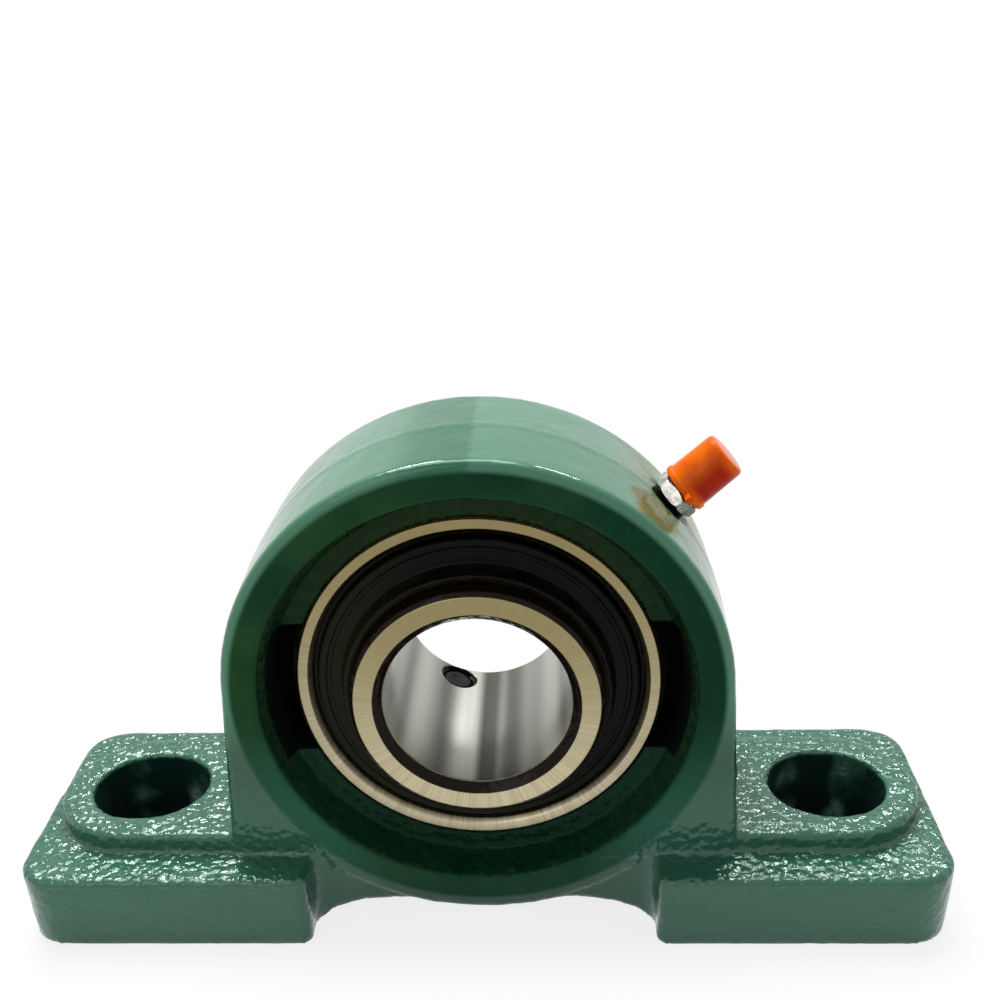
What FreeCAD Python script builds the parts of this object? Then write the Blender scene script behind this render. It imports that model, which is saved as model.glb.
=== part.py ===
"""Pillow block bearing for a 30 mm shaft, as a parametric FreeCAD document.

A one-piece iron housing on two slotted feet holds an insert bearing in a spherical seat.
The insert is an outer ring with a spherical outside, a wide inner ring, nine caged balls,
a seal and a slinger on each side, and two set screws in the long end of the inner ring.
A grease nipple with a dust cap stands on the ring of the housing at 45 degrees.

Frame: the origin lies on the base plane, midway between the two bolts. +X runs along the
base, the short end of the inner ring and the loading slots face -Y, and +Z is up.
All lengths are millimetres and all angles are degrees.
"""
import FreeCAD, Part
import Sketcher

import math
import os

HOUSING_SIZES = {
    "base_width": 46.0,
    "end_margin": 18.25,
    "foot_height": 13.5,
    "foot_corner_radius": 7.0,
    "foot_gap": 58.6,
    "foot_inner_rounding": 2.0,
    "web_corner_rounding": 3.5,
    "foot_edge_rounding": 1.2,
    "foot_step": 8.2,
    "arch_span": 56.0,
    "arch_rise_run": 12.0,
    "arch_height": 3.3,
    "bolt_reach": 19.6,
    "slot_width": 19.0,
    "slot_length": 20.4,
    "slot_lip_rounding": 0.6,
    "pad_height": 17.0,
    "pad_radius": 15.0,
    "pad_edge_rounding": 1.0,
    "shaft_height": 42.9,
    "ring_radius": 40.9,
    "ring_wall": 9.9,
    "rim_width": 6.2,
    "ring_width": 31.0,
    "ring_draft": 1.6,
    "ring_edge_rounding": 1.4,
    "side_flare": 4.5,
    "belly_drop": 1.2,
    "belly_spread": 100.0,
    "belly_edge_rounding": 1.4,
    "ring_sink": 1.1,
    "mouth_lip_rounding": 0.7,
    "recess_step": 1.8,
    "seat_width": 19.0,
    "seat_clearance": 0.04,
    "loading_slot_height": 23.0,
    "loading_slot_depth": 2.4,
}

OUTER_RING_SIZES = {
    "insert_width": 19.0,
    "insert_bevel": 0.5,
    "face_depth": 3.3,
    "outer_shoulder_rise": 2.8,
    "seal_offset": 5.95,
    "seal_groove_depth": 3.7,
    "seal_groove_width": 0.95,
    "seal_mouth_depth": 4.1,
    "grease_groove_margin": 0.15,
    "grease_groove_depth": 0.8,
    "grease_hole_offset": 4.85,
    "grease_hole_radius": 0.6,
}

INNER_RING_SIZES = {
    "inner_wall": 5.15,
    "bore_bevel": 1.5,
    "inner_shoulder_drop": 2.85,
    "inner_bevel": 0.8,
    "short_end": 15.9,
    "long_end": 22.2,
    "screw_inset": 5.0,
    "screw_radius": 2.95,
    "screw_clearance": 0.05,
    "screw_length": 5.6,
    "screw_recess": 0.4,
    "screw_socket_flats": 3.0,
    "screw_socket_depth": 2.6,
    "screw_cup_radius": 1.6,
    "screw_cup_depth": 0.6,
    "screw_angle": 249.0,
    "screw_spread": 120.0,
}

BALL_SIZES = {
    "ball_radius": 4.7625,
    "pitch_depth": 8.0,
    "race_clearance": 0.015,
    "race_curve_radius": 4.95,
    "first_ball_angle": 90.0,
    "cage_thickness": 0.7,
    "cage_inside": 2.1,
    "cage_outside": 2.2,
    "pocket_clearance": 0.08,
    "rivet_radius": 0.75,
    "rivet_head_radius": 1.25,
    "rivet_head_height": 0.5,
}

SEAL_SIZES = {
    "core_thickness": 0.5,
    "core_lift": 2.25,
    "core_fit": 0.05,
    "lip_clearance": 0.05,
    "lip_width": 0.35,
    "rubber_thickness": 0.7,
    "rubber_rim_height": 1.45,
    "rubber_rim_width": 0.55,
    "slinger_offset": 8.0,
    "slinger_plate_thickness": 0.5,
    "slinger_depth": 5.7,
    "slinger_sleeve_thickness": 0.6,
    "slinger_sleeve_length": 4.6,
    "slinger_rubber_thickness": 0.8,
    "slinger_rim_width": 0.6,
    "slinger_collar_thickness": 0.75,
    "slinger_collar_foot": 1.2,
}

NIPPLE_SIZES = {
    "nipple_angle": 42.0,
    "nipple_offset": 1.5,
    "nipple_seat_depth": 0.6,
    "nipple_seat_radius": 4.6,
    "nipple_thread_radius": 3.0,
    "nipple_wall": 3.66,
    "nipple_thread_clearance": 0.05,
    "grease_passage_radius": 1.1,
    "nipple_flats": 7.0,
    "nipple_flats_height": 3.2,
    "nipple_neck_radius": 2.0,
    "nipple_neck_length": 1.6,
    "nipple_head_radius": 2.9,
    "nipple_head_length": 3.4,
    "nipple_tip_radius": 1.8,
    "nipple_bore_radius": 1.15,
    "nipple_mouth_radius": 0.75,
    "nipple_mouth_length": 0.6,
    "nipple_foot_radius": 0.7,
    "nipple_foot_length": 2.2,
    "check_ball_radius": 1.05,
    "check_ball_clearance": 0.03,
    "spring_radius": 0.8,
    "spring_wire_radius": 0.16,
    "spring_turns": 5.0,
    "cap_radius": 3.9,
    "cap_tip_radius": 3.75,
    "cap_length": 8.7,
    "cap_flange_radius": 4.15,
    "cap_flange_height": 1.0,
    "cap_wall": 0.8,
    "cap_edge_rounding": 0.5,
    "cap_gap": 0.15,
    "cap_tab_length": 1.2,
    "cap_tab_width": 1.8,
}

# Sizes that follow from those above, so that the bearing stays whole when one of them changes.
TIED_SIZES = {
    "web_width": "base_width - 2 * foot_step",
    "bolt_spacing": "2 * (ring_radius + bolt_reach)",
    "base_length": "bolt_spacing + 2 * end_margin",
    "belly_radius": "ring_radius + belly_drop",
    "mouth_radius": "ring_radius - rim_width",
    "insert_radius": "ring_radius - ring_wall",
    "recess_floor_radius": "insert_radius + recess_step",
    "loading_slot_radius": "insert_radius + loading_slot_depth",
    "face_inner_radius": "insert_radius - face_depth",
    "seal_groove_radius": "insert_radius - seal_groove_depth",
    "seal_mouth_radius": "insert_radius - seal_mouth_depth",
    "slinger_plate_radius": "insert_radius - slinger_depth",
    "pitch_radius": "insert_radius - pitch_depth",
    "outer_shoulder_radius": "pitch_radius + outer_shoulder_rise",
    "inner_radius": "pitch_radius - inner_shoulder_drop",
    "bore_radius": "inner_radius - inner_wall",
    "cage_inner_radius": "pitch_radius - cage_inside",
    "cage_outer_radius": "pitch_radius + cage_outside",
    "core_inner_radius": "inner_radius + core_lift",
    "nipple_thread_length": "ring_wall - nipple_seat_depth - seat_clearance - nipple_wall",
}

SHEET = "Sizes"
BALL_COUNT = 9


class Size:
    """A size worked out from the sheet: its expression text and its present value."""

    def __init__(self, text, value):
        self.text = text
        self.value = value

    def __add__(self, other):
        other = as_size(other)
        return Size(f"({self.text} + {other.text})", self.value + other.value)

    def __sub__(self, other):
        other = as_size(other)
        return Size(f"({self.text} - {other.text})", self.value - other.value)

    def __mul__(self, other):
        other = as_size(other)
        return Size(f"({self.text} * {other.text})", self.value * other.value)

    def __truediv__(self, other):
        other = as_size(other)
        return Size(f"({self.text} / {other.text})", self.value / other.value)

    def __neg__(self):
        return Size(f"(0 - {self.text})", -self.value)

    def __radd__(self, other):
        return as_size(other) + self

    def __rsub__(self, other):
        return as_size(other) - self

    def __rmul__(self, other):
        return as_size(other) * self


def as_size(thing):
    return thing if isinstance(thing, Size) else Size(repr(float(thing)), float(thing))


def root(size):
    return Size(f"sqrt({size.text})", math.sqrt(size.value))


def cosine(angle):
    return Size(f"cos({angle.text} * 1 deg)", math.cos(math.radians(angle.value)))


def sine(angle):
    return Size(f"sin({angle.text} * 1 deg)", math.sin(math.radians(angle.value)))


def leg(hypotenuse, other_leg):
    """The second leg of a right triangle, as where a circle meets a straight line."""
    return root(hypotenuse * hypotenuse - other_leg * other_leg)


doc = FreeCAD.newDocument("PillowBlockBearing")
sheet = doc.addObject("Spreadsheet::Sheet", SHEET)


class Sizes:
    """Holds one Size for each named cell of the sheet."""


cells = {}
for group in (HOUSING_SIZES, OUTER_RING_SIZES, INNER_RING_SIZES, BALL_SIZES, SEAL_SIZES, NIPPLE_SIZES):
    cells.update(group)
cells.update({alias: f"={formula}" for alias, formula in TIED_SIZES.items()})
for row, (alias, content) in enumerate(cells.items(), 1):
    sheet.set(f"A{row}", alias)
    sheet.set(f"B{row}", str(content))
    sheet.setAlias(f"B{row}", alias)
doc.recompute()
s = Sizes()
for alias in cells:
    setattr(s, alias, Size(f"{SHEET}.{alias}", float(sheet.get(alias))))

sub_parts = []
drawn_arcs = []


# General helpers

def bind(thing, prop, size):
    thing.setExpression(prop, as_size(size).text)


def new_body(label):
    body = doc.addObject("PartDesign::Body", label)
    body.Label = label
    sub_parts.append(body)
    return body


def origin_part(body, role):
    return next(part for part in body.Origin.OriginFeatures if part.Role == role)


def to(x, y):
    """A straight side that ends at x, y."""
    return ("line", as_size(x), as_size(y), None, 0)


def arc_to(x, y, radius, turn):
    """A round side, less than half a circle, that ends at x, y; turn 1 is counter-clockwise."""
    return ("arc", as_size(x), as_size(y), as_size(radius), turn)


def side_geometry(start, step):
    """The Part geometry of one side, from the present values of its ends. Arcs run counter-clockwise."""
    p = FreeCAD.Vector(start[1].value, start[2].value, 0)
    q = FreeCAD.Vector(step[1].value, step[2].value, 0)
    if step[0] == "line":
        return Part.LineSegment(p, q)
    radius, turn = step[3].value, step[4]
    chord = q - p
    left = FreeCAD.Vector(-chord.y, chord.x, 0).normalize()
    rise = math.sqrt(max(radius ** 2 - (chord.Length / 2) ** 2, 0.0))
    centre = (p + q) * 0.5 + left * (rise * turn)
    from_angle, to_angle = [math.atan2(end.y - centre.y, end.x - centre.x)
                            for end in ((p, q) if turn > 0 else (q, p))]
    if to_angle <= from_angle:
        to_angle += math.tau
    return Part.ArcOfCircle(Part.Circle(centre, FreeCAD.Vector(0, 0, 1), radius), from_angle, to_angle)


def arc_middle(arc):
    return arc.value((arc.FirstParameter + arc.LastParameter) / 2)


def pin_point(sketch, geometry, end, x, y):
    """Fix one end of a side at x, y by the sheet."""
    for kind, axis, size in (("DistanceX", -2, x), ("DistanceY", -1, y)):
        if "Sizes" not in size.text and size.value == 0.0:
            sketch.addConstraint(Sketcher.Constraint("PointOnObject", geometry, end, axis))
            continue
        index = sketch.addConstraint(Sketcher.Constraint(kind, -1, 1, geometry, end, size.value))
        sketch.setExpression(f"Constraints[{index}]", size.text)


def add_loop(sketch, steps):
    """Draw a closed outline, every corner and radius tied to the sheet."""
    first = sketch.GeometryCount
    count = len(steps)
    ends = []
    for index, step in enumerate(steps):
        start = steps[index - 1]
        sketch.addGeometry(side_geometry(start, step), False)
        ends.append((2, 1) if step[4] < 0 else (1, 2))
        if step[0] == "arc":
            drawn_arcs.append((sketch, first + index, arc_middle(sketch.Geometry[first + index])))
    for index, step in enumerate(steps):
        here = first + index
        after = first + (index + 1) % count
        sketch.addConstraint(Sketcher.Constraint("Coincident", here, ends[index][1],
                                                 after, ends[(index + 1) % count][0]))
        pin_point(sketch, here, ends[index][1], step[1], step[2])
        if step[0] == "arc":
            radius = sketch.addConstraint(Sketcher.Constraint("Radius", here, step[3].value))
            sketch.setExpression(f"Constraints[{radius}]", step[3].text)


def add_circle(sketch, x, y, radius):
    radius = as_size(radius)
    x, y = as_size(x), as_size(y)
    middle = FreeCAD.Vector(x.value, y.value, 0)
    index = sketch.addGeometry(Part.Circle(middle, FreeCAD.Vector(0, 0, 1), radius.value), False)
    pin_point(sketch, index, 3, x, y)
    constraint = sketch.addConstraint(Sketcher.Constraint("Radius", index, radius.value))
    sketch.setExpression(f"Constraints[{constraint}]", radius.text)


def new_sketch(body, name, plane, loops=()):
    sketch = body.newObject("Sketcher::SketchObject", name)
    sketch.AttachmentSupport = [(origin_part(body, plane), "")]
    sketch.MapMode = "FlatFace"
    for steps in loops:
        add_loop(sketch, steps)
    return sketch


def extrude(body, kind, name, sketch, length, sides="One side", backwards=False):
    feature = body.newObject(f"PartDesign::{kind}", name)
    feature.Profile = sketch
    feature.SideType = sides
    feature.Reversed = backwards
    bind(feature, "Length", length)
    return feature


def turn_about_y(body, kind, name, steps):
    """Turn an outline of (distance along Y, radius) about the Y axis."""
    sketch = new_sketch(body, f"{name}Outline", "YZ_Plane", [steps])
    feature = body.newObject(f"PartDesign::{kind}", name)
    feature.Profile = sketch
    feature.ReferenceAxis = (sketch, ["H_Axis"])
    feature.Angle = 360
    return feature


def repeat_round(body, name, feature, count, axis="Y_Axis"):
    pattern = body.newObject("PartDesign::PolarPattern", name)
    pattern.Originals = [feature]
    pattern.Axis = (origin_part(body, axis), [""])
    pattern.Angle = 360
    pattern.Occurrences = count
    body.Tip = pattern
    return pattern


def round_edges(body, name, feature, radius, wanted):
    """Round every edge of a finished feature that the test picks."""
    doc.recompute()
    picked = [f"Edge{n}" for n, edge in enumerate(feature.Shape.Edges, 1) if wanted(edge)]
    fillet = body.newObject("PartDesign::Fillet", name)
    fillet.Base = (feature, picked)
    bind(fillet, "Radius", radius)
    return fillet


def near(value, target, margin=0.02):
    return abs(value - target) < margin


def level_edge(edge, height):
    """True for an edge that lies in the horizontal plane at this height."""
    box = edge.BoundBox
    return near(box.ZMin, height) and near(box.ZMax, height)


def upright_edge(edge):
    box = edge.BoundBox
    return box.XLength < 0.01 and box.YLength < 0.01 and box.ZLength > 1


def lift_to_shaft(body):
    """Stand a body, drawn about the ball centre, at the height of the shaft."""
    bind(body, "Placement.Base.z", s.shaft_height)


def place_on_nipple_axis(thing, distance):
    """Stand a piece, drawn along +Z, on the nipple's axis at a distance from the shaft axis."""
    thing.Placement.Rotation = FreeCAD.Rotation(FreeCAD.Vector(0, 1, 0), 90 - s.nipple_angle.value)
    bind(thing, "Placement.Rotation.Angle", 90 - s.nipple_angle)
    bind(thing, "Placement.Base.x", distance * cosine(s.nipple_angle))
    bind(thing, "Placement.Base.y", s.nipple_offset)
    bind(thing, "Placement.Base.z", s.shaft_height + distance * sine(s.nipple_angle))


# Sizes that several pieces share

seat_radius = s.insert_radius + s.seat_clearance
seat_edge = s.seat_width / 2
inner_race_bottom = s.pitch_radius - s.ball_radius - s.race_clearance
outer_race_bottom = s.pitch_radius + s.ball_radius + s.race_clearance
inner_race_half = leg(s.race_curve_radius, inner_race_bottom + s.race_curve_radius - s.inner_radius)
outer_race_half = leg(s.race_curve_radius, s.outer_shoulder_radius + s.race_curve_radius - outer_race_bottom)
screw_hole_radius = s.screw_radius + s.screw_clearance
screw_plane = s.long_end - s.screw_inset
nipple_seat_distance = s.ring_radius - s.nipple_seat_depth
# As many balls as fit round the pitch circle with a land of the cage between them.


# Housing

def half_base(side):
    """One foot's outline in plan, counter-clockwise, on side 1 or -1 of the shaft."""
    end = s.base_length / 2 * side
    inner = s.foot_gap / 2 * side
    edge = s.base_width / 2 * side
    corner = s.foot_corner_radius
    web = s.web_width / 2 * side
    return [
        to(inner, -web),
        to(inner, -edge),
        to(end - corner * side, -edge),
        arc_to(end, corner * side - edge, corner, 1),
        to(end, edge - corner * side),
        arc_to(end - corner * side, edge, corner, 1),
        to(inner, edge),
        to(inner, web),
    ]


def round_ended(half_length, radius):
    """A slot outline round the origin of its sketch, longest along x."""
    return [
        to(half_length, -radius),
        arc_to(half_length + radius, 0, radius, 1),
        arc_to(half_length, radius, radius, 1),
        to(-half_length, radius),
        arc_to(-half_length - radius, 0, radius, 1),
        arc_to(-half_length, -radius, radius, 1),
    ]


def bolt_slot(side):
    middle = s.bolt_spacing / 2 * side
    run = (s.slot_length - s.slot_width) / 2
    radius = s.slot_width / 2
    return [
        to(middle + run, -radius),
        arc_to(middle + run + radius, 0, radius, 1),
        arc_to(middle + run, radius, radius, 1),
        to(middle - run, radius),
        arc_to(middle - run - radius, 0, radius, 1),
        arc_to(middle - run, -radius, radius, 1),
    ]


def ring_outline():
    """Front view of the ring above the feet: round on top, sides that flare a little down."""
    radius = s.ring_radius
    centre = s.shaft_height
    sunk = s.foot_height - s.ring_sink
    tangent_x = radius * cosine(s.side_flare)
    tangent_z = centre + radius * sine(s.side_flare)
    spread = (tangent_z - sunk) * sine(s.side_flare) / cosine(s.side_flare)
    foot_x = tangent_x + spread
    return [
        to(foot_x, sunk),
        to(tangent_x, tangent_z),
        arc_to(0, centre + radius, radius, 1),
        arc_to(-tangent_x, tangent_z, radius, 1),
        to(-foot_x, sunk),
    ]


def belly_outline():
    """Half section of the ring's underside, which hangs a little lower between the feet."""
    face = s.ring_width / 2
    soft = s.belly_edge_rounding
    middle = s.belly_radius
    edge = middle - face * sine(s.ring_draft) / cosine(s.ring_draft)
    inside = s.recess_floor_radius
    return [
        to(-face, -inside),
        to(-face, soft - edge),
        arc_to(soft - face, -edge, soft, 1),
        to(0, -middle),
        to(face - soft, -edge),
        arc_to(face, soft - edge, soft, 1),
        to(face, -inside),
    ]


def seat_outline():
    """Half section of the hollow: two tapered mouths and the spherical seat between them."""
    face = s.ring_width / 2
    lip = s.mouth_lip_rounding
    seat_lip = leg(seat_radius, seat_edge)
    return [
        to(-face, 0),
        to(face, 0),
        to(face, s.mouth_radius + lip),
        arc_to(face - lip, s.mouth_radius, lip, -1),
        to(seat_edge, s.recess_floor_radius),
        to(seat_edge, seat_lip),
        arc_to(0, seat_radius, seat_radius, 1),
        arc_to(-seat_edge, seat_lip, seat_radius, 1),
        to(-seat_edge, s.recess_floor_radius),
        to(lip - face, s.mouth_radius),
        arc_to(-face, s.mouth_radius + lip, lip, -1),
    ]


def arch_outline():
    half = s.arch_span / 2
    run = s.arch_rise_run
    rise = s.arch_height
    bend = (run * run + rise * rise) / (2 * rise)
    return [
        to(half, 0),
        arc_to(half - run, rise, bend, 1),
        to(run - half, rise),
        arc_to(-half, 0, bend, 1),
    ]


def loading_slot_outline():
    """The two slots at three and nine o'clock, as one bar with round ends across the seat."""
    half = s.loading_slot_height / 2
    reach = leg(s.loading_slot_radius, half)
    return [
        to(reach, s.shaft_height - half),
        arc_to(reach, s.shaft_height + half, s.loading_slot_radius, 1),
        to(-reach, s.shaft_height + half),
        arc_to(-reach, s.shaft_height - half, s.loading_slot_radius, 1),
    ]


def make_ring_casting():
    """The ring alone, rounded at its rims, as a body that the housing takes in whole."""
    body = doc.addObject("PartDesign::Body", "ring_casting")
    ring_sketch = new_sketch(body, "RingOutline", "XZ_Plane", [ring_outline()])
    ring = extrude(body, "Pad", "Ring", ring_sketch, s.ring_width / 2, "Two sides")
    bind(ring, "Length2", s.ring_width / 2)
    bind(ring, "TaperAngle", -s.ring_draft)
    bind(ring, "TaperAngle2", -s.ring_draft)
    face_y = s.ring_width.value / 2
    sunk_z = (s.foot_height - s.ring_sink).value

    def ring_rim(edge):
        box = edge.BoundBox
        flat = near(abs(box.YMin), face_y) and near(abs(box.YMax), face_y) and box.YLength < 0.01
        return flat and box.ZMax > sunk_z + 1

    round_edges(body, "RingRims", ring, s.ring_edge_rounding, ring_rim)
    belly_sketch = new_sketch(body, "BellyOutline", "YZ_Plane", [belly_outline()])
    bind(belly_sketch, "AttachmentOffset.Base.y", s.shaft_height)
    belly = body.newObject("PartDesign::Revolution", "Belly")
    belly.Profile = belly_sketch
    belly.ReferenceAxis = (belly_sketch, ["H_Axis"])
    belly.Midplane = True
    bind(belly, "Angle", s.belly_spread)
    return body


def make_housing():
    ring_casting = make_ring_casting()
    body = new_body("housing")
    plan = new_sketch(body, "BasePlan", "XY_Plane", [half_base(1) + half_base(-1)])
    base = extrude(body, "Pad", "Base", plan, s.foot_height)
    inner_x = s.foot_gap.value / 2
    web_y = s.web_width.value / 2

    def inner_corner(edge):
        return upright_edge(edge) and near(abs(edge.BoundBox.XMin), inner_x)

    def web_corner(edge):
        return inner_corner(edge) and near(abs(edge.BoundBox.YMin), web_y)

    def front_corner(edge):
        return inner_corner(edge) and not near(abs(edge.BoundBox.YMin), web_y)

    feet = round_edges(body, "WebCorners", base, s.web_corner_rounding, web_corner)
    feet = round_edges(body, "FootInnerCorners", feet, s.foot_inner_rounding, front_corner)
    round_edges(body, "FootTopEdges", feet, s.foot_edge_rounding,
                lambda edge: level_edge(edge, s.foot_height.value))

    bosses_plan = new_sketch(body, "PadsPlan", "XY_Plane", [
        round_ended(s.bolt_spacing / 2 + (s.slot_length - s.slot_width) / 2, s.pad_radius)])
    bosses = extrude(body, "Pad", "Pads", bosses_plan, s.pad_height)
    round_edges(body, "PadTopEdges", bosses, s.pad_edge_rounding,
                lambda edge: level_edge(edge, s.pad_height.value))
    arch_sketch = new_sketch(body, "ArchOutline", "XZ_Plane", [arch_outline()])
    extrude(body, "Pocket", "Arch", arch_sketch, s.base_width, "Symmetric")
    joined = body.newObject("PartDesign::Boolean", "CastTogether")
    joined.setObjects([ring_casting])
    joined.Type = "Fuse"

    seat_sketch = new_sketch(body, "SeatOutline", "YZ_Plane", [seat_outline()])
    bind(seat_sketch, "AttachmentOffset.Base.y", s.shaft_height)
    seat = body.newObject("PartDesign::Groove", "Seat")
    seat.Profile = seat_sketch
    seat.ReferenceAxis = (seat_sketch, ["H_Axis"])
    seat.Angle = 360

    loading_sketch = new_sketch(body, "LoadingSlotOutline", "XZ_Plane", [loading_slot_outline()])
    extrude(body, "Pocket", "LoadingSlots", loading_sketch, s.ring_width / 2, backwards=True)

    slots_sketch = new_sketch(body, "BoltSlotPlan", "XY_Plane", [bolt_slot(1), bolt_slot(-1)])
    slots = extrude(body, "Pocket", "BoltSlots", slots_sketch, s.pad_height, backwards=True)
    slot_reach = (s.slot_length.value + s.slot_width.value) / 2

    def slot_lip(edge):
        middle = edge.BoundBox.Center
        along = abs(abs(middle.x) - s.bolt_spacing.value / 2) < slot_reach
        across = abs(middle.y) <= s.slot_width.value / 2
        return level_edge(edge, s.pad_height.value) and along and across

    round_edges(body, "SlotLips", slots, s.slot_lip_rounding, slot_lip)

    drill(body, "NippleSeat", s.nipple_seat_radius, nipple_seat_distance, s.ring_radius + 1)
    drill(body, "NippleThread", s.nipple_thread_radius + s.nipple_thread_clearance,
          nipple_seat_distance - s.nipple_thread_length - s.nipple_foot_radius, s.ring_radius)
    drill(body, "GreasePassage", s.grease_passage_radius, s.insert_radius - 1, s.ring_radius)
    return body


def drill(body, name, radius, start, end):
    """A round hole along the nipple's axis, between two distances from the shaft axis."""
    sketch = new_sketch(body, f"{name}Circle", "XY_Plane")
    add_circle(sketch, 0, 0, radius)
    sketch.AttachmentOffset = FreeCAD.Placement(
        FreeCAD.Vector(0, 0, 0),
        FreeCAD.Rotation(FreeCAD.Vector(0, 1, 0), 90 - s.nipple_angle.value))
    bind(sketch, "AttachmentOffset.Rotation.Angle", 90 - s.nipple_angle)
    bind(sketch, "AttachmentOffset.Base.x", start * cosine(s.nipple_angle))
    bind(sketch, "AttachmentOffset.Base.y", s.nipple_offset)
    bind(sketch, "AttachmentOffset.Base.z", s.shaft_height + start * sine(s.nipple_angle))
    return extrude(body, "Pocket", name, sketch, end - start, backwards=True)


# Rings of the insert bearing

def outer_ring_outline():
    """Half section: spherical outside, deep ball groove, a stepped seat for each seal."""
    end = s.insert_width / 2
    ball_end = end - s.insert_bevel
    rim = leg(s.insert_radius, ball_end)
    step = s.seal_offset
    groove_end = s.seal_offset + s.seal_groove_width
    flare = end - (s.face_inner_radius - s.seal_mouth_radius)
    shoulder = s.outer_shoulder_radius
    front = [
        to(-step, shoulder),
        to(-step, s.seal_groove_radius),
        to(-groove_end, s.seal_groove_radius),
        to(-groove_end, s.seal_mouth_radius),
        to(-flare, s.seal_mouth_radius),
        to(-end, s.face_inner_radius),
        to(-end, rim - s.insert_bevel),
        to(-ball_end, rim),
    ]
    back = [
        to(end, rim - s.insert_bevel),
        to(end, s.face_inner_radius),
        to(flare, s.seal_mouth_radius),
        to(groove_end, s.seal_mouth_radius),
        to(groove_end, s.seal_groove_radius),
        to(step, s.seal_groove_radius),
        to(step, shoulder),
        to(outer_race_half, shoulder),
    ]
    across = [arc_to(0, s.insert_radius, s.insert_radius, -1), arc_to(ball_end, rim, s.insert_radius, -1)]
    race = [
        arc_to(0, outer_race_bottom, s.race_curve_radius, 1),
        arc_to(-outer_race_half, shoulder, s.race_curve_radius, 1),
    ]
    return front + across + back + race


def make_outer_ring():
    body = new_body("outer_ring")
    lift_to_shaft(body)
    turn_about_y(body, "Revolution", "OuterRing", outer_ring_outline())
    # The groove leads grease from under the nipple to the hole beside the ball groove.
    low = s.nipple_offset
    high = s.grease_hole_offset + s.grease_hole_radius + s.grease_groove_margin
    floor = s.insert_radius - s.grease_groove_depth
    turn_about_y(body, "Groove", "GreaseGroove", [
        to(low, floor), to(high, floor), to(high, s.insert_radius + 1), to(low, s.insert_radius + 1)])
    hole_sketch = new_sketch(body, "GreaseHoleCircle", "XY_Plane")
    add_circle(hole_sketch, 0, s.grease_hole_offset, s.grease_hole_radius)
    extrude(body, "Pocket", "GreaseHole", hole_sketch, s.insert_radius, backwards=True)
    return body


def inner_ring_outline():
    front = -s.short_end
    back = s.long_end
    bevel = s.inner_bevel
    race = [
        arc_to(0, inner_race_bottom, s.race_curve_radius, 1),
        arc_to(inner_race_half, s.inner_radius, s.race_curve_radius, 1),
    ]
    return [
        to(front + s.bore_bevel, s.bore_radius),
        to(front, s.bore_radius + s.bore_bevel),
        to(front, s.inner_radius - bevel),
        to(front + bevel, s.inner_radius),
        to(-inner_race_half, s.inner_radius),
    ] + race + [
        to(back - bevel, s.inner_radius),
        to(back, s.inner_radius - bevel),
        to(back, s.bore_radius + s.bore_bevel),
        to(back - s.bore_bevel, s.bore_radius),
    ]


def make_inner_ring():
    body = new_body("inner_ring")
    lift_to_shaft(body)
    turn_about_y(body, "Revolution", "InnerRing", inner_ring_outline())
    for number, angle in enumerate((s.screw_angle, s.screw_angle - s.screw_spread), 1):
        sketch = new_sketch(body, f"ScrewHole{number}Circle", "XY_Plane")
        add_circle(sketch, 0, 0, screw_hole_radius)
        sketch.AttachmentOffset = FreeCAD.Placement(
            FreeCAD.Vector(0, 0, 0), FreeCAD.Rotation(FreeCAD.Vector(0, 1, 0), 90 - angle.value))
        bind(sketch, "AttachmentOffset.Rotation.Angle", 90 - angle)
        bind(sketch, "AttachmentOffset.Base.y", screw_plane)
        extrude(body, "Pocket", f"ScrewHole{number}", sketch, s.inner_radius + 1, backwards=True)
    return body


# Balls and cage

def make_ball(number):
    label = f"ball_{number}"
    ball = doc.addObject("Part::Sphere", label)
    ball.Label = label
    bind(ball, "Radius", s.ball_radius)
    angle = s.first_ball_angle + (number - 1) * 360 / BALL_COUNT
    bind(ball, "Placement.Base.x", s.pitch_radius * cosine(angle))
    bind(ball, "Placement.Base.z", s.shaft_height + s.pitch_radius * sine(angle))
    sub_parts.append(ball)


def pocket_sphere(body, kind, name, radius):
    sphere = body.newObject(f"PartDesign::{kind}Sphere", name)
    bind(sphere, "Radius", radius)
    bind(sphere, "Placement.Base.x", s.pitch_radius * cosine(s.first_ball_angle))
    bind(sphere, "Placement.Base.z", s.pitch_radius * sine(s.first_ball_angle))
    repeat_round(body, f"{name}s", sphere, BALL_COUNT)


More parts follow.
